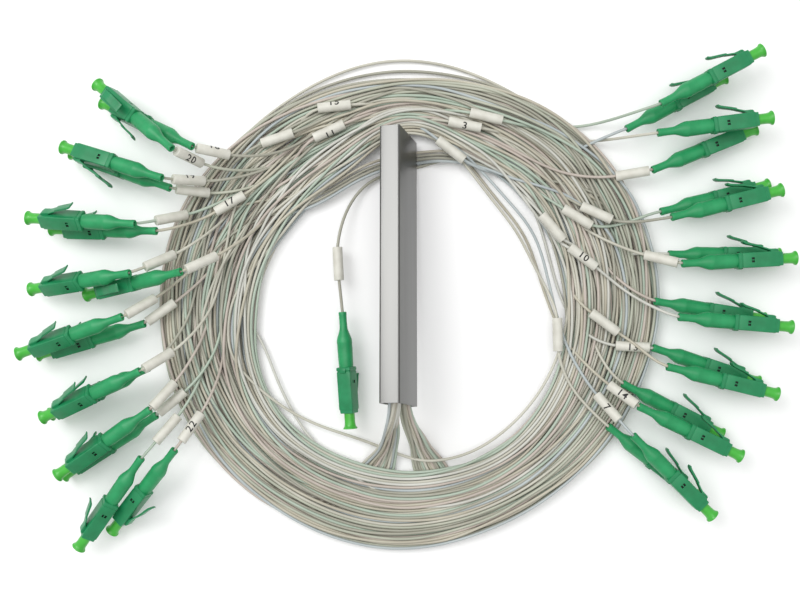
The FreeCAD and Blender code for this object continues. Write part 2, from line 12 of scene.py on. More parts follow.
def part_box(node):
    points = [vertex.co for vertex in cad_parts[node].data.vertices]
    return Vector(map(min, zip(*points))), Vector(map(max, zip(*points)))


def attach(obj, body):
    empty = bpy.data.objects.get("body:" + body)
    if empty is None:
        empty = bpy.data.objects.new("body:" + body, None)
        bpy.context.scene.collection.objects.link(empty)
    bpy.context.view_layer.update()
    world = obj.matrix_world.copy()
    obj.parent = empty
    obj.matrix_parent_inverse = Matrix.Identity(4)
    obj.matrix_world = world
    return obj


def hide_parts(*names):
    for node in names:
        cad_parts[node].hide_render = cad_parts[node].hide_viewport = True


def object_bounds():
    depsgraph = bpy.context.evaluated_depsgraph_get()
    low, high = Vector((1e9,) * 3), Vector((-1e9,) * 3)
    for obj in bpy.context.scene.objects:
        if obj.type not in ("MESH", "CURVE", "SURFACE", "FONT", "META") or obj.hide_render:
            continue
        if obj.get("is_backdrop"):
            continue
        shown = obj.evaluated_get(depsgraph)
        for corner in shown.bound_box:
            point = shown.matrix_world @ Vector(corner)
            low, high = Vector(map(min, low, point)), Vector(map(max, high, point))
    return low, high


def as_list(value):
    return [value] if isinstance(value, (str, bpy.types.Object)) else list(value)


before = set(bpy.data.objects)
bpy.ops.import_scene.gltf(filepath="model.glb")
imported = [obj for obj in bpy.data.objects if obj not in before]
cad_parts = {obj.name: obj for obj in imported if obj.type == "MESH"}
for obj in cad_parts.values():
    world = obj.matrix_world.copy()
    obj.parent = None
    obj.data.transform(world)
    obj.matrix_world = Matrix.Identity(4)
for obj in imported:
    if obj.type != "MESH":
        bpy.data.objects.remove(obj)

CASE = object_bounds()
MM = 0.001

# In millimetres: the cords and the room each takes, the coil, how far a connector's parts reach from the
# tip of its boot, how high the tips lie, and the markers.
CORD = 0.9
TOUCH = 0.98
CENTRE = np.array([2.5, -11.3])
RIM = 75.0
BOOT = 16.5
HOUSING = 13.8
NOSE = BOOT + HOUSING
SOCKET = NOSE - 8.0
LOW_TIP = 7.4
LAYER = 5.5
MARKER = 10.0
MARKER_RADIUS = 1.5
# The tube's turn about Y, then about X, in degrees, and how far along it from its middle the cords start.
TUBE_LEAN = -15.4
TUBE_DIP = -8.7
MOUTH = 39.4

# Each connector, as in the part's source: number, bearing of its boot's tip about the coil's centre,
# reach beyond the rim, heading, tilt, latch turn, layer, the tail's bearing and length, and where the
# marker starts behind the boot.
OUTPUTS = [
    (1, 38.6, 20.4, 28, -4, 90, 1, 186, 42, None),
    (2, 38.9, 9.3, 28, -7, 90, 0, 184, 32, None),
    (3, 34.7, 14.6, 8, -4, 90, 1, 185, 38, None),
    (4, 29.0, 8.9, 22, -7, 90, 0, 189, 24, 0.8),
    (5, 18.6, 7.0, 14, -6, 90, 1, 174, 14, None),
    (6, 20.4, 5.9, 14, -7, 90, 0, 172, 20, None),
    (8, 8.8, 6.8, 3, -6, 90, 1, 165, 26, 0.8),
    (9, 11.2, 4.7, 0, -7, 90, 0, 158, 18, None),
    (10, -2.3, 4.9, -5, -6, 90, 1, 160, 22, None),
    (11, 1.1, -0.9, -9, -7, 90, 0, 155, 16, None),
    (12, -13.1, 3.5, -14, -6, 90, 1, 175, 15, None),
    (13, -9.6, -0.5, -18, -7, 90, 0, 178, 26, 0.6),
    (14, -23.4, -0.8, -26, -6, 90, 1, 143, 26, 0.8),
    (15, -19.8, -6.5, -27, -7, 90, 0, 140, 14, None),
    (7, -29.8, 1.5, -45, -6, 90, 1, 130, 24, 6.0),
    (16, -30.9, -4.9, -38, -7, 90, 0, 135, 14, None),
    (20, 146.2, 5.9, 140, -22, 10, 2.8, -24, 16, 1.0),
    (18, 143.4, 2.7, 153, -20, 80, 1.75, -10, 28, 1.0),
    (19, 152.4, 5.0, 162, -17, 80, 2.05, 0, 20, 2.5),
    (21, 153.5, 2.9, 160, -15, 90, 0.95, -5, 17, 1.0),
    (23, 163.2, 7.4, 176, -14, -50, 1.95, 15, 20, 6.0),
    (17, 163.3, 1.7, 178, -15, -60, 1.2, 10, 18, None),
    (24, 173.2, 5.9, 188, -20, -50, 2.0, 27, 24, 5.0),
    (25, 171.3, -9.0, 192, -24, 5, 2.2, 27, 34, 1.0),
    (27, 182.1, 8.2, 199, -10, -50, 1.5, 33, 24, 0.8),
    (28, 183.8, 3.5, 196, -7, -70, 0.1, 36, 33, 1.2),
    (29, 193.6, 4.7, 205, -13, -50, 1.9, 33, 24, 0.8),
    (30, 193.4, 3.5, 205, -11, -70, 0.7, 45, 16, None),
    (31, 201.9, 6.4, 215, -6, -55, 1.1, 50, 24, 0.8),
    (32, 203.5, 6.7, 213, -7, -80, 0, 40, 33, 1.0),
    (26, 209.7, 14.9, 234, -10, -60, 1.1, 50, 32, 6.0),
    (22, 211.7, 5.0, 231, -17, 75, 1.3, 56, 32, 3.0),
]
# The last output that goes to the right. Those run clockwise round the coil, the others the other way.
LAST_RIGHT = 16
# Markers that lie on the coil: the output's number, bearing, distance inside the rim, direction.
COIL_MARKERS = {
    3: (72.4, 17.8, -11),
    1: (67.0, 13.2, -14),
    2: (74.2, 26.4, -38),
    5: (26.0, 11.6, -26),
    6: (27.5, 17.4, -33),
    10: (15.4, 20.1, -37),
    9: (28.5, 25.4, -51),
    16: (-10.4, 29.0, -90),
    12: (-4.9, 15.4, -36),
    15: (109.8, 11.1, 4),
    11: (114.6, 17.3, 24),
    30: (128.0, 11.1, 18),
    17: (149.8, 13.6, 31),
}
# Two of them lie on the coil's top, which the cord passes before it leaves the coil.
MARKED_EARLY = (11, 15)
# Three that leave inside the coil, on its right, with how far out from the innermost way each keeps.
INSIDE_RIGHT = {16: 0.0, 14: 1.6, 7: 3.6}
# The innermost way there: bearing, radius, how much of that distance counts, and direction.
INSIDE_WAY = ((52, 41.2, 1.0, -52), (25, 39.9, 1.2, -74))
# How far round the coil a cord leaves it ahead of its boot, or of a marker on the coil at either side.
BOOT_LEAD, RIGHT_MARKER_LEAD, LEFT_MARKER_LEAD = 62, 55, 42
# How far each number has rolled from the top of its marker. The others are turned under.
ROLLS = {3: 20, 7: 10, 10: -12, 13: 5, 14: -8, 17: 15, 20: -10, 22: 5, 11: 55, 15: -50, 18: 75, 19: 60}
ROLLED_UNDER = 150

# The input's connector inside the coil: its boot's tip, heading, tilt, latch turn and tail, the way that
# its cord takes there from the coil, and its marker's ends.
INPUT_TIP = (-16.9, -13.1, 6.6)
INPUT_HEADING, INPUT_TILT, INPUT_LATCH = -86, 1.5, 155
INPUT_TAIL = 30.0
INPUT_WAY = [(2.8, 29.9), (-5.0, 29.2), (-12.0, 24.6), (-17.2, 15.0), (-18.7, 5.0), (-17.8, -5.0)]
INPUT_MARKER = ((-18.8, 6.9), (-18.1, -3.1))

# The coil's inner and outer rims: bearing and radius about its centre, and the bearings either side that
# each is rounded over.
INNER = [
    (0, 48.4), (20, 48.3), (40, 48.6), (53, 48.8), (66, 48.0), (74, 49.2), (79, 51.0), (84, 53.8),
    (94, 53.8), (98, 51.0), (104, 47.4), (112, 44.8), (122, 43.2), (135, 42.8), (145, 43.0), (160, 43.8),
    (180, 45.4), (200, 48.6), (220, 50.8), (240, 50.4), (255, 50.2), (270, 51.2), (280, 50.8), (308, 51.7),
    (326, 50.4), (345, 49.0),
]
OUTER = [
    (0, 76.3), (25, 76.0), (48, 74.4), (70, 70.5), (90, 68.2), (107, 69.2), (124, 71.0), (140, 73.0),
    (160, 75.0), (180, 75.4), (210, 75.0), (238, 73.6), (265, 74.2), (292, 72.0), (310, 72.4), (335, 74.8),
]
ROUNDED_OVER = np.linspace(-5, 5, 7)
# Where a cord strays from its lane: its number, the turn, then bearings and radii in the order it
# runs. Two loops stand above the top, two sag inside the lower left, and four cross under the tube.
STRAYS = [
    (24, 1, [(66, 72.7), (80, 74.4), (94, 75.1), (110, 73.6), (124, 71.8)]),
    (5, 1, [(122, 71.6), (105, 71.6), (92, 71.8), (78, 71.7), (66, 72.4)]),
    (9, 1, [(239, 51.5), (220, 46.9), (198, 44.6)]),
    (29, 0, [(194, 56.4), (222, 47.9), (257, 43.1), (272, 46.6), (284, 48.3), (316, 48.1), (336, 48.2)]),
    (30, 0, [(58, 50.0), (72, 48.4), (90, 45.4), (109, 43.4), (124, 41.8)]),
    (19, 0, [(60, 49.0), (72, 47.3), (90, 44.3), (108, 42.3), (126, 40.9)]),
    (2, 0, [(127, 40.0), (111, 41.1), (90, 43.2), (72, 46.2), (60, 48.0)]),
    (12, 0, [(124, 42.8), (109, 44.6), (90, 46.5), (72, 49.5), (58, 51.0)]),
]
# Those four and the input cord lie flat on the floor where they pass under the tube.
UNDER_TUBE = (30, 19, 2, 12, 0)
# The lane that each cord keeps to before it leaves the coil, from 0 at the inner rim to 1 at the outer.
LAST_LANE = {
    0: 0.05,
    1: 0.42, 2: 0.30, 3: 0.36, 4: 0.26, 5: 0.5, 6: 0.4, 8: 0.3, 9: 0.16, 10: 0.2,
    11: 0.62, 12: 0.24, 13: 0.1, 14: 0.06, 15: 0.74, 7: 0.03, 16: 0.0,
    20: 0.8, 18: 0.88, 19: 0.7, 21: 0.62, 23: 0.74, 17: 0.66, 24: 0.84, 25: 0.54, 27: 0.6,
    28: 0.5, 29: 0.66, 30: 0.78, 31: 0.56, 32: 0.46, 26: 0.72, 22: 0.58,
}

rng = random.Random(32)


def bearing_to(angle):
    return np.array([math.cos(math.radians(angle)), math.sin(math.radians(angle))])


def ring_point(angle, radius):
    return CENTRE + bearing_to(angle) * radius


def unit(vector):
    return vector / np.linalg.norm(vector)


def rim(table, angle):
    """The rim's radius at a bearing, rounded a little over its neighbours."""
    near = (np.asarray(angle)[..., None] + ROUNDED_OVER) % 360
    return np.interp(near, [a for a, _ in table], [r for _, r in table], period=360).mean(axis=-1)


def smooth(x):
    x = np.clip(x, 0, 1)
    return x * x * (3 - 2 * x)


def hermite(t, long, start, leaving, end, arriving):
    """The cubic between two values with a slope at each, for t from 0 to 1."""
    return (
        (2 * t**3 - 3 * t**2 + 1) * start
        + (t**3 - 2 * t**2 + t) * long * leaving
        + (3 * t**2 - 2 * t**3) * end
        + (t**3 - t**2) * long * arriving
    )


def glide(knots, values, at):
    """A smooth line through values at rising knots."""
    knots = np.asarray(knots, float)
    values = np.asarray(values, float)
    slopes = np.gradient(values, knots)
    at = np.clip(at, knots[0], knots[-1])
    i = np.clip(np.searchsorted(knots, at, side="right") - 1, 0, len(knots) - 2)
    wide = knots[i + 1] - knots[i]
    return hermite((at - knots[i]) / wide, wide, values[i], slopes[i], values[i + 1], slopes[i + 1])


SPACING = 1.2


def swing(start, leaving, end, arriving, pull=1.0):
    """Points of a smooth run between two places, each with the direction of travel there."""
    long = np.linalg.norm(end - start) * pull
    t = np.linspace(0, 1, max(3, int(long / SPACING) + 1))[:, None]
    return hermite(t, long, start, leaving, end, arriving)


# ---------------------------------------------------------------- plan of each cord, seen from above

TURNS = 2
RIGHT_COMES_ON, LEFT_COMES_ON, INPUT_COMES_ON, INPUT_LEAVES = 260.5, 279, 104, 66
KNOT = 30
CALMEST = 275
MEAN_RADIUS = 62
STRAY_BLEND = 44


class Plan:
    """One cord's way round the coil, by its travel in degrees from where it comes on."""

    def __init__(self, number, sense, enter, leave):
        self.number = number
        self.sense = sense
        self.enter = enter
        self.travel = 360 * TURNS + (sense * (leave - enter)) % 360
        first = (enter // KNOT + (1 if sense > 0 else 0)) * KNOT
        offset = sense * (first - enter)
        self.knots = list(np.arange(offset, self.travel + KNOT, KNOT))
        self.keys = []
        self.lanes = [0.0] * len(self.knots)

    def bearing(self, u):
        return self.enter + self.sense * np.asarray(u)

    def turn_at(self, angle, turn):
        """How far along the cord passes a bearing, on a given turn."""
        return (self.sense * (angle - self.enter)) % 360 + 360 * turn

    def radius(self, u):
        u = np.asarray(u, float)
        angle = self.bearing(u)
        low = rim(INNER, angle)
        high = rim(OUTER, angle)
        radius = low + (high - low) * glide(self.knots, self.lanes, u)
        for number, turn, points in STRAYS:
            if number != self.number:
                continue
            stops = [self.turn_at(points[0][0], turn)]
            for (a, _), (b, _) in zip(points, points[1:]):
                stops.append(stops[-1] + abs(b - a))
            rising = smooth((u - stops[0] + STRAY_BLEND) / STRAY_BLEND)
            share = rising * smooth((stops[-1] + STRAY_BLEND - u) / STRAY_BLEND)
            radius = radius * (1 - share) + share * glide(stops, [r for _, r in points], u)
        return radius

    def ring(self, start, end):
        """Points on the coil between two travels."""
        long = abs(end - start) * MEAN_RADIUS * math.pi / 180
        u = np.linspace(start, end, max(3, int(long / SPACING)))
        angle = np.radians(self.bearing(u))
        return CENTRE + np.stack([np.cos(angle), np.sin(angle)], axis=1) * self.radius(u)[:, None]

    def heading(self, u):
        a, b = self.ring(u - 0.5, u + 0.5)[[0, -1]]
        return unit(b - a)

    def at(self, u):
        """Where the cord is on the coil, and its direction there."""
        return self.ring(u, u + 1)[0], self.heading(u)


def unrest(angle):
    """How much a cord changes lane: little along the bottom, more up the sides and over the top."""
    calm = 0.5 + 0.5 * math.cos(math.radians(angle % 360 - CALMEST))
    return 0.02 + 0.09 * (1 - calm) ** 1.2


def leaving_right(number, tip_bearing):
    """The bearing where a cord for the right leaves the coil."""
    if number in INSIDE_RIGHT:
        return 86
    if number in COIL_MARKERS and number not in MARKED_EARLY:
        return min(93, COIL_MARKERS[number][0] + RIGHT_MARKER_LEAD)
    return min(93, max(35, tip_bearing + BOOT_LEAD))


def leaving_left(number, tip_bearing):
    """The bearing where a cord for the left leaves the coil."""
    if number in COIL_MARKERS:
        return max(86, COIL_MARKERS[number][0] - LEFT_MARKER_LEAD)
    return max(87, min(145, tip_bearing - BOOT_LEAD))


plans = {}
for number, tip_bearing, *_ in OUTPUTS:
    if number <= LAST_RIGHT:
        plans[number] = Plan(number, -1, RIGHT_COMES_ON, leaving_right(number, tip_bearing))
    else:
        plans[number] = Plan(number, 1, LEFT_COMES_ON, leaving_left(number, tip_bearing))
plans[0] = Plan(0, 1, INPUT_COMES_ON, INPUT_LEAVES)

# Each cord wanders across the coil and comes to its last lane over the last stretch of its travel. Where
# the cords cross a knot they are ranked, and spread nearly evenly.
LAST_STRETCH = 150
EVEN_SHARE, KEY_SHARE = 0.82, 0.18

for number, plan in sorted(plans.items()):
    key = rng.random()
    for u in plan.knots:
        key += rng.gauss(0, unrest(plan.bearing(u)))
        key = abs(key)
        if key > 1:
            key = 2 - key
        near_end = smooth(1 - (plan.travel - u) / LAST_STRETCH)
        plan.keys.append(float(key * (1 - near_end) + near_end * LAST_LANE[number]))

crossing = {}
for number, plan in plans.items():
    for i, u in enumerate(plan.knots):
        crossing.setdefault(int(round(plan.bearing(u))) % 360, []).append((plan.keys[i], number, i))
for group in crossing.values():
    group.sort()
    for rank, (key, number, i) in enumerate(group):
        even = (rank + 0.5) / len(group)
        plans[number].lanes[i] = EVEN_SHARE * even + KEY_SHARE * key

# ---------------------------------------------------------------- the way from the tube to each boot

HONEYCOMB = 0.866
IN_BOOT = 21
TAIL_FOOT = 4.0
BUNCH_PULL, LEAD_PULL, TAIL_PULL = 1.15, 1.1, 1.05
MARKER_BERTH = 22
MARKER_CLEAR = 1.5
TUBE_LIFT = (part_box("splitter_tube")[0][2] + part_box("splitter_tube")[1][2]) / 2 / MM
# The two bunches at the tube's mouth: side, level in the mouth, a place halfway to the floor, and where
# the bunch meets it.
BUNCHES = (
    (-1, 5.0, (-3.4, -53.5), (-6.6, -60.5)),
    (1, -5.0, (6.3, -53.0), (9.8, -60.5)),
)
# A bunch's middle place and how far apart its places land, and where its cords join the coil.
MIDDLE_PLACE, FAN = 7.5, 0.62
FIRST_JOIN, JOIN_STEP, INPUT_JOIN = 17, 2.5, 12
# How a bunch spreads in the mouth, across and in depth, and halfway down, by its fan and its depth. Then
# its slope, seen from above, and how far its outer cords land back.
MOUTH_ACROSS, MOUTH_DEEP = 1.35, 0.8
HALFWAY_FAN, HALFWAY_DEEP = 0.45, 0.5
SLOPE, LAND_BACK = 0.30, 0.1
INPUT_LEAD_POINTS = 6


def connector_matrix(tip, heading, tilt, latch):
    """Z along the connector and X towards its latch, with the boot's tip at the origin."""
    ahead = Vector((
        math.cos(math.radians(tilt)) * math.cos(math.radians(heading)),
        math.cos(math.radians(tilt)) * math.sin(math.radians(heading)),
        math.sin(math.radians(tilt)),
    ))
    left = Vector((-math.sin(math.radians(heading)), math.cos(math.radians(heading)), 0))
    up = ahead.cross(left)
    to_latch = up * math.cos(math.radians(latch)) + left * math.sin(math.radians(latch))
    side = ahead.cross(to_latch)
    matrix = Matrix((to_latch, side, ahead)).transposed().to_4x4()
    matrix.translation = Vector(tip) * MM
    return matrix


def turned(x, y, z):
    """A direction of the tube's own frame, in the row frame."""
    lean = Matrix.Rotation(math.radians(TUBE_LEAN), 3, "Y")
    dip = Matrix.Rotation(math.radians(TUBE_DIP), 3, "X")
    return dip @ lean @ Vector((x, y, z))


def in_tube(x, y, z):
    """A point of the tube's own frame, in the row frame, in millimetres."""
    return turned(x, y, z) + Vector((0, 0, TUBE_LIFT))


def flat_of(vector):
    return np.array([vector.x, vector.y])


def packed(count):
    """Places of a round bunch's cords across it, as rows of a honeycomb."""
    spots = []
    for row in range(-3, 4):
        for column in range(-3, 4):
            spots.append(((column + 0.5 * (row % 2)) * TOUCH, row * TOUCH * HONEYCOMB))
    spots.sort(key=lambda s: s[0] ** 2 + s[1] ** 2 + 0.01 * s[0])
    return spots[:count]


class Route:
    """A cord's points from above, with what is known of its height."""

    def __init__(self, start, going, mouth):
        self.flat = []
        self.place, self.going = start, going
        self.mouth = mouth

    def add(self, points):
        points = list(points)
        if self.flat and np.linalg.norm(self.flat[-1] - points[0]) < SPACING / 2:
            points = points[1:]
        self.flat.extend(points)

    def run(self, end, arriving, pull=1.0):
        """Swing on to a place, with the direction of travel there."""
        self.add(swing(self.place, self.going, end, arriving, pull))
        self.place, self.going = end, arriving

    def leave(self, plan, start):
        """Follow the coil to where the cord leaves it."""
        self.add(plan.ring(start, plan.travel))
        self.place = plan.ring(plan.travel - 1, plan.travel)[-1]
        self.going = plan.heading(plan.travel - 0.5)

    def pass_marker(self, number, pull=1.0):
        """Swing on to a marker that lies on the coil, and go straight through it."""
        bearing, inside, angle = COIL_MARKERS[number]
        if number > LAST_RIGHT:
            angle += 180
        middle, along = ring_point(bearing, RIM - inside), bearing_to(angle)
        first, last = middle - along * MARKER / 2, middle + along * MARKER / 2
        self.run(first, along, pull)
        self.run(last, along)
        self.marker = (first, last)

    def enter_boot(self, tip, ahead, height, tilt, tail):
        self.tip = len(self.flat)
        self.height, self.tilt, self.tail = height, tilt, tail
        self.add([tip + ahead * d for d in np.arange(0, IN_BOOT, SPACING)])


def bunched(plan, place, spot, side, level, halfway, landing):
    """A cord from the tube's mouth down its bunch to the coil, and the travel where it joins that."""
    across, deep = spot
    out = in_tube(deep * MOUTH_DEEP, -MOUTH, level + across * MOUTH_ACROSS)
    fan = (place - MIDDLE_PLACE) * FAN * side
    slope = unit(np.array([side * SLOPE, -1.0]))
    route = Route(flat_of(out), unit(flat_of(turned(0, -1, 0))), out.z)
    route.run(np.array([halfway[0] + fan * HALFWAY_FAN, halfway[1] + deep * HALFWAY_DEEP]), slope)
    route.run(np.array([landing[0] + fan, landing[1] - abs(fan) * LAND_BACK]), slope)
    route.bunch_end = len(route.flat)
    join = FIRST_JOIN + (place % 4) * JOIN_STEP
    route.run(*plan.at(join), BUNCH_PULL)
    return route, join


def to_the_boot(route, plan, join, row):
    """The rest of an output's route, round the coil and out to its boot. Returns the connector's frame."""
    number, tip_bearing, beyond, heading, tilt, latch, layer, back, tail, marker = row
    tip = ring_point(tip_bearing, RIM + beyond)
    height = LOW_TIP + layer * LAYER
    if number in MARKED_EARLY:
        bearing = COIL_MARKERS[number][0]
        before = plan.turn_at(bearing + MARKER_BERTH, TURNS)
        route.add(plan.ring(join, before))
        route.place, route.going = plan.at(before)
        route.pass_marker(number)
        join = plan.turn_at(bearing - MARKER_BERTH, TURNS)
        route.run(*plan.at(join))
    route.leave(plan, join)
    if number in INSIDE_RIGHT:
        for bearing, radius, share, going in INSIDE_WAY:
            end = ring_point(bearing, radius + INSIDE_RIGHT[number] * share)
            route.run(end, bearing_to(going), TAIL_PULL)
    if number in COIL_MARKERS and number not in MARKED_EARLY:
        route.pass_marker(number, TAIL_PULL)
    away, arriving = bearing_to(back), bearing_to(back + 180)
    if marker is None:
        route.run(tip, unit(arriving + bearing_to(heading)), TAIL_PULL)
    else:
        flat_share = tail / math.hypot(tail, height - TAIL_FOOT)
        near, far = marker * flat_share, (marker + MARKER) * flat_share
        route.run(tip + away * (far + MARKER_CLEAR), arriving, TAIL_PULL)
        route.run(tip, arriving)
        route.marker = (tip + away * far, tip + away * near)
    ahead = bearing_to(heading) * math.cos(math.radians(tilt))
    route.enter_boot(tip, ahead, height, tilt, tail)
    return connector_matrix((tip[0], tip[1], height), heading, tilt, latch)


def input_route(plan):
    """The input cord, from the tube's other end round the coil and back inside it to its boot."""
    out = in_tube(0, MOUTH, 0)
    route = Route(flat_of(out), flat_of(turned(0, 1, 0)), out.z)
    route.run(*plan.at(INPUT_JOIN), LEAD_PULL)
    route.bunch_end = INPUT_LEAD_POINTS
    route.leave(plan, INPUT_JOIN)
    places = [np.array(place) for place in INPUT_WAY + [INPUT_TIP[:2]]]
    for end, after in zip(places, places[1:]):
        route.run(end, unit(after - route.place))
    tip, ahead = places[-1], bearing_to(INPUT_HEADING)
    route.run(tip, ahead)
    route.marker = [np.array(end) for end in INPUT_MARKER]
    route.enter_boot(tip, ahead, INPUT_TIP[2], INPUT_TILT, INPUT_TAIL)
    return route


routes = {}
frames = {}
for side, *bunch in BUNCHES:
    rows = [row for row in OUTPUTS if (row[0] <= LAST_RIGHT) == (side < 0)]
    spots = packed(len(rows))
    spots.sort(key=lambda s: s[1] * 0.3 + s[0] * -side)
    for place, row in enumerate(rows):
        plan = plans[row[0]]
        route, join = bunched(plan, place, spots[place], side, *bunch)
        frames[row[0]] = to_the_boot(route, plan, join, row)
        routes[row[0]] = route
routes[0] = input_route(plans[0])
frames[0] = connector_matrix(INPUT_TIP, INPUT_HEADING, INPUT_TILT, INPUT_LATCH)

# ---------------------------------------------------------------- how the cords lie on one another

STEP = 1.0
FLOOR = CORD / 2
PILE = 3.6
MARKER_HEIGHT = 6.08
EASE = 5.0
LAYER_RUN = 70
WANDER = 0.22
MOUTH_BEARING, MOUTH_HALF = -90, 34
UNDER_RUN = 60
UNDER_HEIGHT, OVER_LIFT = 0.6, 2.0
GOAL_SHARE, MOUTH_SQUASH = 0.92, 0.6
SHORTEST_DROP = 14
FALL_RUN = 22
BLEND_RUN = 12
UNDERPASS_X, UNDERPASS_HALF, UNDERPASS_Y = 2.4, 7, (25, 36)


def evened(points):
    """The same line with its points an even step apart, and how far along it the old points were."""
    points = np.asarray(points)
    along = np.concatenate([[0], np.cumsum(np.linalg.norm(np.diff(points, axis=0), axis=1))])
    at = np.linspace(0, along[-1], int(along[-1] / STEP) + 1)
    return np.stack([np.interp(at, along, points[:, k]) for k in range(points.shape[1])], axis=1), along


def eased(values):
    """Values averaged with their neighbours, the two ends kept."""
    reach = int(EASE * 3)
    weights = np.exp(-0.5 * (np.arange(-reach, reach + 1) / EASE) ** 2)
    padded = np.concatenate([np.full(reach, values[0]), values, np.full(reach, values[-1])])
    return np.convolve(padded, weights / weights.sum(), mode="valid")


def planned(number, route):
    """A cord's points before it settles, its goal, which points are held, and where its marker is."""
    flat, along = evened(route.flat)
    size = len(flat)
    index = np.arange(size)
    bunch, tip = (int(round(along[min(at, len(along) - 1)] / STEP)) for at in (route.bunch_end, route.tip))
    late = int(size * 0.6)
    low, high = sorted(
        int(np.argmin(np.linalg.norm(flat[late:] - end, axis=1))) + late for end in route.marker
    )
    wide = EASE * smooth((index - bunch) / BLEND_RUN) * smooth((tip - index) / BLEND_RUN)
    wide *= 1 - smooth(1 - np.abs(index - (low + high) / 2) / BLEND_RUN)
    share = (wide / EASE)[:, None]
    flat = flat * (1 - share) + np.stack([eased(flat[:, 0]), eased(flat[:, 1])], axis=1) * share

    # On the coil a cord wanders up and down in the pile. Where the bunches come on it starts low, under
    # the turns that pass there later.
    depth = [rng.random()]
    for _ in range(size // LAYER_RUN + 2):
        depth.append(min(1.0, max(0.0, depth[-1] + rng.gauss(0, WANDER))))
    layer = glide(np.arange(len(depth)) * LAYER_RUN, depth, index)
    z = FLOOR + PILE * np.clip(layer, 0, 1)
    bearing = np.degrees(np.arctan2(*(flat - CENTRE).T[::-1]))
    mouth_side = smooth(1 - np.abs((bearing - MOUTH_BEARING) / MOUTH_HALF))
    if number:
        under = smooth(1 - (index - bunch) / UNDER_RUN)
        z = z * (1 - under) + UNDER_HEIGHT * under + OVER_LIFT * mouth_side * (1 - under)
    heights = np.stack([z, FLOOR + (z - FLOOR) * (GOAL_SHARE - MOUTH_SQUASH * mouth_side)])

    # It comes down from the tube at its start, and rises to its boot at its end. A marker that lies on
    # the coil is at one height.
    drop = smooth(1 - index / max(bunch - 1, SHORTEST_DROP))
    heights = heights * (1 - drop) + route.mouth * drop
    on_coil = number in COIL_MARKERS
    if on_coil:
        heights[:, low:high + 1] = MARKER_HEIGHT
    tail_z = route.height + (TAIL_FOOT - route.height) * np.clip((tip - index) * STEP / route.tail, 0, 1)
    hold_from = tip - 1 if on_coil else low - 1
    falling = smooth(1 - (hold_from - index) / FALL_RUN)
    fall = heights * (1 - falling) + tail_z[hold_from] * falling
    heights = np.where(index < hold_from, fall, tail_z)
    in_boot = route.height + (index - tip) * STEP * math.sin(math.radians(route.tilt))
    heights = np.where(index > tip, in_boot, heights)

    held = index >= max(0, hold_from)
    held[:5] = True
    held[low:high + 1] = True
    if on_coil:
        for step in range(1, BLEND_RUN):
            share = smooth(1 - step / BLEND_RUN)
            for k in (low - step, high + step):
                if 0 <= k < hold_from:
                    heights[:, k] = heights[:, k] * (1 - share) + MARKER_HEIGHT * share
    if number in UNDER_TUBE:
        near = np.abs(flat[:, 0] - UNDERPASS_X) < UNDERPASS_HALF
        near &= (flat[:, 1] > UNDERPASS_Y[0]) & (flat[:, 1] < UNDERPASS_Y[1])
        heights[:, near] = FLOOR
        held[near] = True
    points, goal = (np.column_stack([flat, level]) for level in heights)
    return {"points": points, "goal": goal, "held": held, "marker": (low, high)}


def touching(points, reach):
    """Pairs of points closer than the reach, found over a grid of the floor."""
    cells = np.floor(points[:, :2] / reach).astype(np.int64)
    cells -= cells.min(axis=0)
    columns = cells[:, 1].max() + 3
    key = (cells[:, 0] + 1) * columns + cells[:, 1] + 1
    order = np.argsort(key, kind="stable")
    sorted_key = key[order]
    found = []
    for shift in (0, 1, columns - 1, columns, columns + 1):
        start = np.searchsorted(sorted_key, key + shift, side="left")
        stop = np.searchsorted(sorted_key, key + shift, side="right")
        counts = stop - start
        mine = np.repeat(np.arange(len(points)), counts)
        offset = np.arange(counts.sum()) - np.repeat(np.cumsum(counts) - counts, counts)
        other = order[np.repeat(start, counts) + offset]
        if shift == 0:
            keep = mine < other
            mine, other = mine[keep], other[keep]
        near = ((points[mine] - points[other]) ** 2).sum(axis=1) < reach**2
        found.append((mine[near], other[near]))
    return np.concatenate([a for a, _ in found]), np.concatenate([b for _, b in found])


lines = {number: planned(number, route) for number, route in routes.items()}
order = sorted(lines)
spans = {}
count = 0
for number in order:
    spans[number] = slice(count, count + len(lines[number]["points"]))
    count += len(lines[number]["points"])
points = np.concatenate([lines[number]["points"] for number in order])
goal = np.concatenate([lines[number]["goal"] for number in order])
held = np.concatenate([lines[number]["held"] for number in order])
owner = np.concatenate([np.full(len(lines[number]["points"]), number) for number in order])
girth = np.full(count, CORD / 2)
for number in order:
    low, high = lines[number]["marker"]
    girth[spans[number].start + low:spans[number].start + high + 1] = MARKER_RADIUS
anchored = points[held].copy()
joined = owner[1:] == owner[:-1]

# Each round pushes the points of different cords apart where they touch, more softly where many do, draws
# every point a little towards its goal, and smooths how far the cord has moved from that.
ROUNDS = 140
LOOK_AGAIN = 10
LOOK_REACH = 2.2
NEXT_ON_CORD = 6
CROWD, CROWD_GAIN = 1.3, 1.4
PULL_FLAT, PULL_UP = 0.02, 0.025
SMOOTHINGS = 2

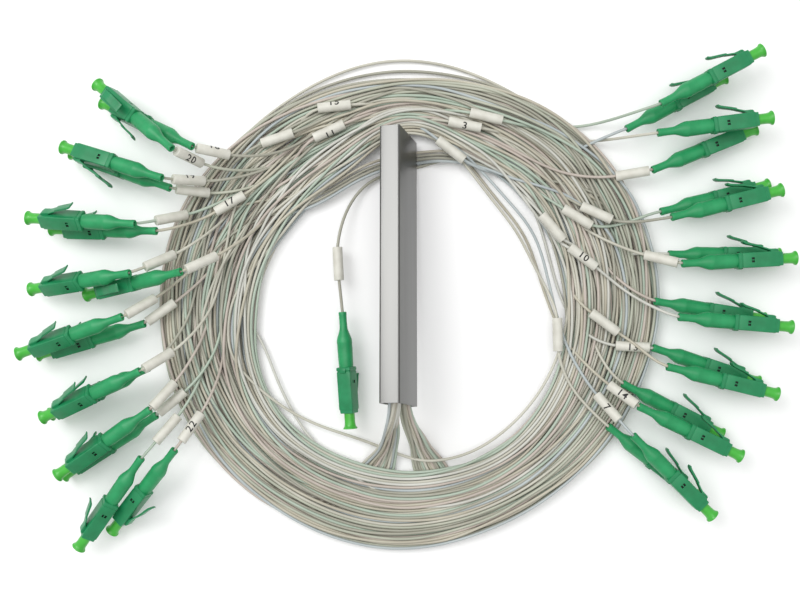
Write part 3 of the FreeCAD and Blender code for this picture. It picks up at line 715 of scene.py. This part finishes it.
own = np.arange(count)
for step in range(ROUNDS):
    if step % LOOK_AGAIN == 0:
        mine, other = touching(points, LOOK_REACH)
        apart = (owner[mine] != owner[other]) | (np.abs(own[mine] - own[other]) > NEXT_ON_CORD)
        mine, other = mine[apart], other[apart]
        clear = girth[mine] + girth[other] + (TOUCH - CORD)
    gap = points[mine] - points[other]
    far = np.sqrt((gap**2).sum(axis=1)) + 1e-6
    deep = clear - far
    near = deep > 0
    push = gap[near] * (deep[near] / far[near] * 0.5)[:, None]
    a, b = mine[near], other[near]
    hits = np.bincount(a, minlength=count) + np.bincount(b, minlength=count)
    share = CROWD / np.maximum(hits, 1)
    for axis in range(3):
        move = np.bincount(a, push[:, axis], count) - np.bincount(b, push[:, axis], count)
        points[:, axis] += move * np.where(hits > 1, share * CROWD_GAIN, 1.0)
    points[:, :2] += (goal[:, :2] - points[:, :2]) * PULL_FLAT
    points[:, 2] += (goal[:, 2] - points[:, 2]) * PULL_UP
    points[held] = anchored
    moved = points - goal
    for _ in range(SMOOTHINGS):
        mean = moved.copy()
        mean[1:][joined] += moved[:-1][joined]
        mean[:-1][joined] += moved[1:][joined]
        weight = np.ones(count)
        weight[1:] += joined
        weight[:-1] += joined
        moved = mean / weight[:, None]
    points = goal + moved
    points[held] = anchored
    points[:, 2] = np.maximum(points[:, 2], FLOOR)

for number in order:
    lines[number]["points"] = points[spans[number]]

# ---------------------------------------------------------------- materials


def linear(*rgb):
    """A colour given as it looks on a screen, from 0 to 255."""
    return tuple(
        v / 255 / 12.92 if v / 255 <= 0.04045 else ((v / 255 + 0.055) / 1.055) ** 2.4 for v in rgb
    ) + (1.0,)


MOTTLE = (0.32, 0.68)


class Paint:
    """A node material: two close colours mottled together, uneven gloss and a fine surface."""

    def __init__(self, name, light, dark, scale, rough=(0.35, 0.5), grain=None, stretch=None, **fixed):
        self.material = bpy.data.materials.new(name)
        self.material.use_nodes = True
        tree = self.tree = self.material.node_tree
        body = tree.nodes["Principled BSDF"]
        for socket, value in fixed.items():
            body.inputs[socket.replace("_", " ")].default_value = value
        self.spot = tree.nodes.new("ShaderNodeTexCoord").outputs["Object"]
        if stretch:
            mapping = tree.nodes.new("ShaderNodeMapping")
            mapping.inputs["Scale"].default_value = stretch
            tree.links.new(self.spot, mapping.inputs["Vector"])
            self.spot = mapping.outputs["Vector"]
        cloud = self.noise(scale, 3)
        ramp = tree.nodes.new("ShaderNodeValToRGB")
        for stop, position, colour in zip(ramp.color_ramp.elements, MOTTLE, (dark, light)):
            stop.position = position
            stop.color = colour
        tree.links.new(cloud, ramp.inputs["Fac"])
        tree.links.new(ramp.outputs["Color"], body.inputs["Base Color"])
        gloss = tree.nodes.new("ShaderNodeMapRange")
        gloss.inputs["To Min"].default_value = rough[0]
        gloss.inputs["To Max"].default_value = rough[1]
        tree.links.new(self.noise(scale * 2.7, 2), gloss.inputs["Value"])
        tree.links.new(gloss.outputs["Result"], body.inputs["Roughness"])
        if grain:
            bump = tree.nodes.new("ShaderNodeBump")
            bump.inputs["Strength"].default_value = grain[1]
            bump.inputs["Distance"].default_value = grain[2]
            tree.links.new(self.noise(grain[0], 4), bump.inputs["Height"])
            tree.links.new(bump.outputs["Normal"], body.inputs["Normal"])

    def noise(self, scale, detail):
        node = self.tree.nodes.new("ShaderNodeTexNoise")
        node.inputs["Scale"].default_value = scale
        node.inputs["Detail"].default_value = detail
        self.tree.links.new(self.spot, node.inputs["Vector"])
        return node.outputs["Fac"]


TINTS = [
    ((198, 196, 183), (177, 175, 161)),
    ((176, 189, 174), (159, 173, 157)),
    ((194, 184, 174), (175, 165, 155)),
    ((180, 188, 188), (162, 170, 171)),
    ((190, 186, 169), (172, 166, 150)),
    ((205, 205, 197), (186, 186, 177)),
    ((182, 184, 168), (162, 165, 149)),
    ((169, 168, 154), (151, 150, 136)),
]
cord_paints = [
    Paint(f"cord_jacket_{i}", linear(*a), linear(*b), 60, (0.3, 0.45), (900, 0.12, 0.0001),
          Specular_IOR_Level=0.45).material
    for i, (a, b) in enumerate(TINTS)
]
boot_paint = Paint("boot_green", linear(36, 152, 93), linear(27, 136, 81), 260, (0.38, 0.55),
                   (2600, 0.15, 0.0001)).material
housing_paint = Paint("housing_green", linear(30, 136, 86), linear(22, 120, 73), 240, (0.3, 0.46),
                      (2200, 0.1, 0.0001)).material
dark_paint = Paint("window_shadow", linear(14, 40, 27), linear(8, 26, 17), 600, (0.5, 0.7)).material
cap_paint = Paint("cap_lime", linear(74, 182, 66), linear(60, 164, 52), 300, (0.28, 0.4),
                  (2400, 0.08, 0.0001)).material
marker_paint = Paint("marker_plastic", linear(214, 213, 203), linear(199, 197, 186), 300, (0.42, 0.6),
                     (1800, 0.15, 0.0001)).material
ink_paint = Paint("marker_ink", linear(26, 25, 24), linear(14, 14, 14), 900, (0.5, 0.7)).material
ceramic_paint = Paint("zirconia", linear(238, 236, 230), linear(226, 224, 216), 700, (0.12, 0.2)).material
steel_paint = Paint("satin_steel", linear(120, 120, 118), linear(96, 96, 95), 9, (0.26, 0.4),
                    (700, 0.06, 0.00005), (6, 0.35, 6), Metallic=1.0).material

# ---------------------------------------------------------------- cords


def cord_piece(name, points, paint):
    curve = bpy.data.curves.new(name, "CURVE")
    curve.dimensions = "3D"
    curve.bevel_depth = CORD / 2 * MM
    curve.bevel_resolution = 2
    curve.resolution_u = 2
    curve.use_fill_caps = True
    spline = curve.splines.new("NURBS")
    spline.points.add(len(points) - 1)
    for spot, point in zip(spline.points, points):
        spot.co = (*(v * MM for v in point), 1.0)
    spline.order_u = 3
    spline.use_endpoint_u = True
    piece = bpy.data.objects.new(name, curve)
    bpy.context.collection.objects.link(piece)
    curve.materials.append(paint)
    return piece


# A curve is drawn from every fourth point.
EVERY = 4

cords = {}
for number, line in sorted(lines.items()):
    points = line["points"]
    picked = list(range(0, len(points) - 1, EVERY)) + [len(points) - 1]
    chosen = points[picked]
    name = f"cord_{number:02d}" if number else "cord_input"
    paint = cord_paints[rng.randrange(len(cord_paints))]
    piece = cord_piece(name, chosen, paint)
    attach(piece, "splitter")
    cords[number] = (piece, chosen, float(np.linalg.norm(np.diff(points, axis=0), axis=1).sum()) * MM)
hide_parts("fibre_coil", "output_tails_right", "output_bunch_left")
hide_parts("output_tails_left", "output_bunch_right")
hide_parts("input_tail", "input_lead")

# ---------------------------------------------------------------- shapes


def finished(shape, name, paints, sharp=35):
    """The mesh of a bmesh given in millimetres, smooth but for its real edges."""
    bmesh.ops.remove_doubles(shape, verts=shape.verts, dist=1e-5)
    bmesh.ops.recalc_face_normals(shape, faces=shape.faces)
    bmesh.ops.scale(shape, vec=(MM, MM, MM), verts=shape.verts)
    mesh = bpy.data.meshes.new(name)
    shape.to_mesh(mesh)
    shape.free()
    for face in mesh.polygons:
        face.use_smooth = True
    mesh.set_sharp_from_angle(angle=math.radians(sharp))
    for paint in paints:
        mesh.materials.append(paint)
    return mesh


def skin(shape, rings, first=True, last=True):
    """Join rings of points with faces, and close the two ends."""
    made = [[shape.verts.new(point) for point in ring] for ring in rings]
    count = len(made[0])
    rows = []
    for low, high in zip(made, made[1:]):
        row = []
        for k in range(count):
            n = (k + 1) % count
            row.append(shape.faces.new((low[k], low[n], high[n], high[k])))
        rows.append(row)
    if first:
        shape.faces.new(made[0])
    if last:
        shape.faces.new(made[-1])
    return rows


def round_ring(radius, z, sides):
    return [
        (radius * math.cos(2 * math.pi * k / sides), radius * math.sin(2 * math.pi * k / sides), z)
        for k in range(sides)
    ]


def lathe(profile, sides=28):
    """A round form from its profile of (height, radius)."""
    shape = bmesh.new()
    skin(shape, [round_ring(max(r, 0.001), z, sides) for z, r in profile])
    return shape


# A housing's ring has a corner and the two edges of a window on each of its four sides.
CORNER_POINTS = 4
WINDOW_HALF = 0.75
SIDE_POINTS = CORNER_POINTS + 2
WINDOW_ROW = 9
WINDOW_DEPTH = 0.55
# The stub that shows in each window: its size, and how far out and along it is.
STUB = (0.26, 0.5, 0.9)
STUB_OUT, STUB_ALONG = 1.93, 4.45


def square_ring(half, corner, z):
    """A square with rounded corners, with two points on each side for a window's edges."""
    side = []
    for k in range(CORNER_POINTS):
        a = math.pi / 2 * k / (CORNER_POINTS - 1)
        side.append((half - corner + corner * math.cos(a), half - corner + corner * math.sin(a)))
    side += [(WINDOW_HALF, half), (-WINDOW_HALF, half)]
    points = []
    for quarter in range(4):
        cos, sin = math.cos(quarter * math.pi / 2), math.sin(quarter * math.pi / 2)
        points += [(x * cos - y * sin, x * sin + y * cos, z) for x, y in side]
    return points


EDGE = 0.12


def plate(shape, outline, width):
    """A flat outline of (x, z) points, spread to a width across y, with its edges broken."""
    sides = [[shape.verts.new((x, y, z)) for x, z in outline] for y in (-width / 2, width / 2)]
    faces = [shape.faces.new(side) for side in sides]
    count = len(outline)
    for k in range(count):
        n = (k + 1) % count
        faces.append(shape.faces.new((sides[0][k], sides[0][n], sides[1][n], sides[1][k])))
    bmesh.ops.recalc_face_normals(shape, faces=faces)
    edges = {e for f in faces[:2] for e in f.edges}
    bmesh.ops.bevel(shape, geom=list(edges), offset=EDGE, segments=2, profile=0.6, affect="EDGES")


boot = finished(lathe([
    (2.4, 0.0), (2.4, 0.6), (0.25, 0.66), (0.06, 0.74), (0.0, 0.86), (0.0, 1.06), (0.08, 1.17),
    (0.25, 1.21), (1.0, 1.2), (1.15, 1.16), (3.0, 1.13), (4.6, 1.17), (5.2, 1.24), (6.2, 1.55),
    (7.4, 2.0), (8.3, 2.26), (9.0, 2.33), (9.3, 2.33), (9.45, 2.28), (12.0, 2.26), (15.4, 2.2),
    (16.0, 2.16), (16.6, 2.1), (16.6, 0.0),
], 32), "boot", [boot_paint])


def housing_mesh():
    shape = bmesh.new()
    rings = [
        (0.0, 2.05, 0.5), (0.06, 2.2, 0.5), (0.2, 2.33, 0.45), (0.95, 2.33, 0.45), (1.08, 2.24, 0.4),
        (1.14, 2.13, 0.35), (1.38, 2.13, 0.35), (1.45, 2.22, 0.3), (1.6, 2.25, 0.28), (4.0, 2.25, 0.28),
        (4.9, 2.25, 0.28), (9.0, 2.25, 0.28), (12.55, 2.25, 0.28), (12.72, 2.2, 0.28),
        (12.8, 2.08, 0.25), (13.7, 2.03, 0.25), (13.8, 1.95, 0.2), (13.8, 1.75, 0.12),
        (6.0, 1.72, 0.12), (5.8, 1.6, 0.1),
    ]
    rows = skin(shape, [square_ring(half, corner, z) for z, half, corner in rings])
    for quarter in (0, 2):
        face = rows[WINDOW_ROW][quarter * SIDE_POINTS + CORNER_POINTS]
        inward = Vector(face.calc_center_median()) * Vector((1, 1, 0))
        inward = -inward.normalized() * WINDOW_DEPTH
        grown = bmesh.ops.extrude_face_region(shape, geom=[face])["geom"]
        corners = [v for v in grown if isinstance(v, bmesh.types.BMVert)]
        bmesh.ops.translate(shape, vec=inward, verts=corners)
        for new in (f for f in grown if isinstance(f, bmesh.types.BMFace)):
            new.material_index = 1
        for v in corners:
            for f in v.link_faces:
                f.material_index = 1
        if face.is_valid:
            shape.faces.remove(face)
    for side in (-1, 1):
        bar = bmesh.ops.create_cube(shape, size=1)["verts"]
        bmesh.ops.scale(shape, vec=STUB, verts=bar)
        bmesh.ops.translate(shape, vec=(0, side * STUB_OUT, STUB_ALONG), verts=bar)
    plate(shape, [
        (2.15, 12.9), (2.72, 12.86), (3.0, 12.5), (3.08, 12.0), (3.1, 10.6), (3.14, 10.1), (3.44, 9.2),
        (3.76, 8.2), (3.84, 7.95), (4.16, 7.75), (4.26, 7.5), (4.7, 5.9), (5.14, 4.2), (5.42, 3.2),
        (5.66, 2.7), (5.9, 2.42), (5.82, 2.2), (5.45, 2.24), (5.1, 2.55), (4.8, 3.1), (4.6, 3.8),
        (4.15, 5.7), (3.7, 7.4), (3.4, 8.1), (2.98, 9.3), (2.64, 10.2), (2.6, 10.42), (2.15, 10.45),
    ], 2.4)
    plate(shape, [
        (-2.1, 0.3), (-2.5, 0.42), (-2.62, 0.8), (-2.62, 1.3), (-2.5, 1.75), (-2.1, 1.95),
    ], 1.8)
    return finished(shape, "housing", [housing_paint, dark_paint], 30)


housing = housing_mesh()
ferrule = finished(lathe([
    (0.0, 0.0), (0.0, 1.2), (0.12, 1.3), (1.0, 1.3), (1.15, 1.2), (1.15, 0.625), (7.9, 0.625),
    (8.1, 0.56), (8.2, 0.42), (8.2, 0.07), (8.17, 0.0),
]), "ferrule", [ceramic_paint])
cap = finished(lathe([
    (0.8, 0.0), (0.8, 0.69), (-4.3, 0.69), (-4.5, 0.8), (-4.5, 1.42), (-4.35, 1.55), (-0.05, 1.575),
    (2.6, 1.575), (3.3, 1.62), (3.9, 1.74), (4.25, 1.95), (4.42, 2.12), (4.52, 2.15), (4.66, 2.15),
    (4.7, 2.1), (4.7, 1.7), (4.62, 1.6), (4.6, 0.0),
], 32), "cap", [cap_paint])
marker = finished(lathe([
    (10.0, 0.8), (0.0, 0.8), (0.0, 1.4), (0.05, 1.47), (0.12, 1.5), (3.0, 1.49), (7.0, 1.5),
    (9.88, 1.5), (9.95, 1.47), (10.0, 1.4), (10.0, 0.8),
]), "marker", [marker_paint])


def place(mesh, name, matrix, body="splitter", finish=None, stands_for=()):
    piece = bpy.data.objects.new(name, mesh)
    bpy.context.collection.objects.link(piece)
    piece.matrix_world = matrix
    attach(piece, body)
    if stands_for:
        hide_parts(*stands_for)
    return piece


# The number's ink stands a little off its marker, and is sliced across so that it can wrap round.
INK_SIZE, INK_WEIGHT, INK_SPACING = 3.1, 0.05, 1.15
INK_RADIUS = 1.515
SLICES = 9


def ink_mesh(number, reading):
    """A number's strokes, wrapped round a marker. Reading is 1 or -1 along the marker."""
    words = bpy.data.curves.new("number", "FONT")
    words.body = str(number)
    words.size = INK_SIZE
    words.offset = INK_WEIGHT
    words.space_character = INK_SPACING
    words.align_x = "CENTER"
    words.resolution_u = 3
    holder = bpy.data.objects.new("number", words)
    bpy.context.collection.objects.link(holder)
    bpy.context.view_layer.update()
    flat = bpy.data.meshes.new_from_object(holder.evaluated_get(bpy.context.evaluated_depsgraph_get()))
    bpy.data.objects.remove(holder)
    shape = bmesh.new()
    shape.from_mesh(flat)
    bpy.data.meshes.remove(flat)
    low = min(v.co.y for v in shape.verts)
    high = max(v.co.y for v in shape.verts)
    for k in range(1, SLICES):
        everything = shape.verts[:] + shape.edges[:] + shape.faces[:]
        cut = (0, low + (high - low) * k / SLICES, 0)
        bmesh.ops.bisect_plane(shape, geom=everything, plane_co=cut, plane_no=(0, 1, 0))
    bmesh.ops.triangulate(shape, faces=shape.faces)
    for v in shape.verts:
        across = (v.co.y - (low + high) / 2) / MARKER_RADIUS
        v.co = (
            INK_RADIUS * math.cos(across),
            -reading * INK_RADIUS * math.sin(across),
            MARKER / 2 + reading * v.co.x,
        )
    return finished(shape, f"ink_{number:02d}", [ink_paint])


def marker_matrix(first, last, roll):
    ahead = (last - first).normalized()
    side = ahead.cross(Vector((0, 0, 1))).normalized()
    up = side.cross(ahead)
    facing = up * math.cos(math.radians(roll)) + side * math.sin(math.radians(roll))
    across = ahead.cross(facing)
    matrix = Matrix((facing, across, ahead)).transposed().to_4x4()
    matrix.translation = ((first + last) / 2 - ahead * MARKER / 2) * MM
    return matrix


with_cords = {}
for number in sorted(frames):
    tag = f"output_{number:02d}" if number else "input"
    base = frames[number]
    up_to = base @ Matrix.Translation((0, 0, BOOT * MM))
    socket = base @ Matrix.Translation((0, 0, SOCKET * MM))
    nose = base @ Matrix.Translation((0, 0, NOSE * MM))
    nodes = {"boot": (), "housing": (), "ferrule": ()}
    if number in (0, 1):
        group = "input_{}" if number == 0 else "output_{}s"
        nodes = {key: (group.format(key),) for key in nodes}
    pieces = [
        place(boot, f"{tag}_boot_form", base, finish="boot_green", stands_for=nodes["boot"]),
        place(housing, f"{tag}_housing_form", up_to, finish="housing_green", stands_for=nodes["housing"]),
        place(ferrule, f"{tag}_ferrule_form", socket, finish="zirconia", stands_for=nodes["ferrule"]),
    ]
    cap_node = f"output_cap_{number:02d}" if number else "input_cap"
    place(cap, f"{cap_node}_form", nose, body=f"{cap_node}_body", finish="cap_lime",
          stands_for=(cap_node,))
    first, last = (Vector(lines[number]["points"][end]) for end in lines[number]["marker"])
    matrix = marker_matrix(first, last, ROLLS.get(number, ROLLED_UNDER))
    pieces.append(place(marker, f"{tag}_marker", matrix, finish="marker_plastic",
                        stands_for=("marker_sleeves",) if number == 1 else ()))
    if number:
        reading = 1 if (last - first).x > 0 else -1
        pieces.append(place(ink_mesh(number, reading), f"{tag}_ink", matrix))
    with_cords[number] = pieces

for number, (piece, chosen, long) in cords.items():
    tuple(float(v) * MM for v in chosen[0])
    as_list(with_cords[number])

# ---------------------------------------------------------------- tube


def tube_mesh():
    """The drawn steel tube: thin walls, rounded edges, open ends."""
    shape = bmesh.new()

    def section(x, z, corner, y):
        points = []
        for quarter, (sx, sz) in enumerate(((1, 1), (-1, 1), (-1, -1), (1, -1))):
            for k in range(6):
                a = math.pi / 2 * (quarter + k / 5)
                points.append((
                    sx * (x - corner) + corner * math.cos(a),
                    y,
                    sz * (z - corner) + corner * math.sin(a),
                ))
        return points

    skin(shape, [
        section(2.5, 9.5, 0.25, -39.9), section(2.5, 9.5, 0.25, 39.9), section(2.53, 9.53, 0.27, 40),
        section(2.95, 9.95, 0.55, 40), section(3, 10, 0.6, 39.93), section(3, 10, 0.6, 0),
        section(3, 10, 0.6, -39.93), section(2.95, 9.95, 0.55, -40), section(2.53, 9.53, 0.27, -40),
        section(2.5, 9.5, 0.25, -39.9),
    ], first=False, last=False)
    return finished(shape, "tube", [steel_paint], 25)


tube_matrix = Matrix.Translation((0, 0, TUBE_LIFT * MM)) @ (
    Matrix.Rotation(math.radians(TUBE_DIP), 4, "X") @ Matrix.Rotation(math.radians(TUBE_LEAN), 4, "Y")
)
place(tube_mesh(), "tube_shell", tube_matrix, finish="satin_steel", stands_for=("splitter_tube",))

# The parts inside the tube keep their CAD shapes: each node's paint, its two colours, and its scale,
# gloss and grain.
INNER_LOOKS = {
    "output_end_potting": (
        "potting_black", (46, 46, 45), (30, 30, 30), 500, (0.25, 0.5), (900, 0.3, 0.0002),
    ),
    "input_end_plug": ("plug_black", (52, 52, 52), (38, 38, 38), 500, (0.4, 0.6), (900, 0.2, 0.0001)),
    "chip_bed": ("bed_glass", (190, 200, 200), (170, 184, 186), 300, (0.1, 0.2)),
    "waveguide_chip": ("chip_silica", (150, 150, 160), (120, 122, 134), 300, (0.05, 0.15)),
    "chip_lid": ("lid_silica", (176, 180, 186), (150, 156, 164), 300, (0.05, 0.15)),
    "input_fibre_block": ("block_glass", (200, 206, 204), (182, 190, 190), 300, (0.1, 0.2)),
    "output_fibre_block": ("block_glass_2", (200, 206, 204), (182, 190, 190), 300, (0.1, 0.2)),
    "input_bare_fibre": ("bare_fibre", (230, 232, 228), (214, 216, 210), 900, (0.1, 0.2)),
    "output_ribbons": ("ribbon_resin", (216, 206, 150), (196, 184, 124), 500, (0.3, 0.4)),
}
for node, (name, light, dark, *rest) in INNER_LOOKS.items():
    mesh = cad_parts[node].data
    mesh.materials.clear()
    mesh.materials.append(Paint(name, linear(*light), linear(*dark), *rest).material)

# ---------------------------------------------------------------- floor, light and camera

GROUND_Z = -0.0002
LIT_SPOT = Vector((0, -0.01, 0))
CAMERA_AT = (0.37, -9.5, 340)

floor = bmesh.new()
bmesh.ops.create_grid(floor, x_segments=8, y_segments=8, size=1500)
floor_paint = Paint("floor", linear(252, 252, 252), linear(249, 249, 249), 3, (0.7, 0.8)).material
ground = bpy.data.objects.new("floor", finished(floor, "floor", [floor_paint]))
bpy.context.collection.objects.link(ground)
ground.location.z = GROUND_Z
ground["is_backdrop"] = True

scene = bpy.context.scene
world = bpy.data.worlds.new("studio")
scene.world = world
world.use_nodes = True
sky = world.node_tree.nodes["Background"]
sky.inputs["Color"].default_value = (1.0, 1.0, 1.0, 1.0)
sky.inputs["Strength"].default_value = 0.62


def softbox(name, spot, size, power):
    light = bpy.data.lights.new(name, "AREA")
    light.shape = "SQUARE"
    light.size = size
    light.energy = power
    lamp = bpy.data.objects.new(name, light)
    bpy.context.collection.objects.link(lamp)
    lamp.location = spot
    lamp.rotation_euler = (LIT_SPOT - Vector(spot)).to_track_quat("-Z", "Y").to_euler()


softbox("key", (-0.42, 0.30, 0.75), 0.5, 4.2)
softbox("overhead", (0.1, 0.1, 1.3), 0.9, 5.0)

view = bpy.data.cameras.new("camera")
view.lens = 50
view.sensor_width = 36
camera = bpy.data.objects.new("camera", view)
bpy.context.collection.objects.link(camera)
camera.location = tuple(v * MM for v in CAMERA_AT)
scene.camera = camera
scene.view_settings.view_transform = "Standard"
scene.view_settings.look = "None"

sizes = [[[float(v) for v in corner] for corner in box] for box in (CASE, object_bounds())]
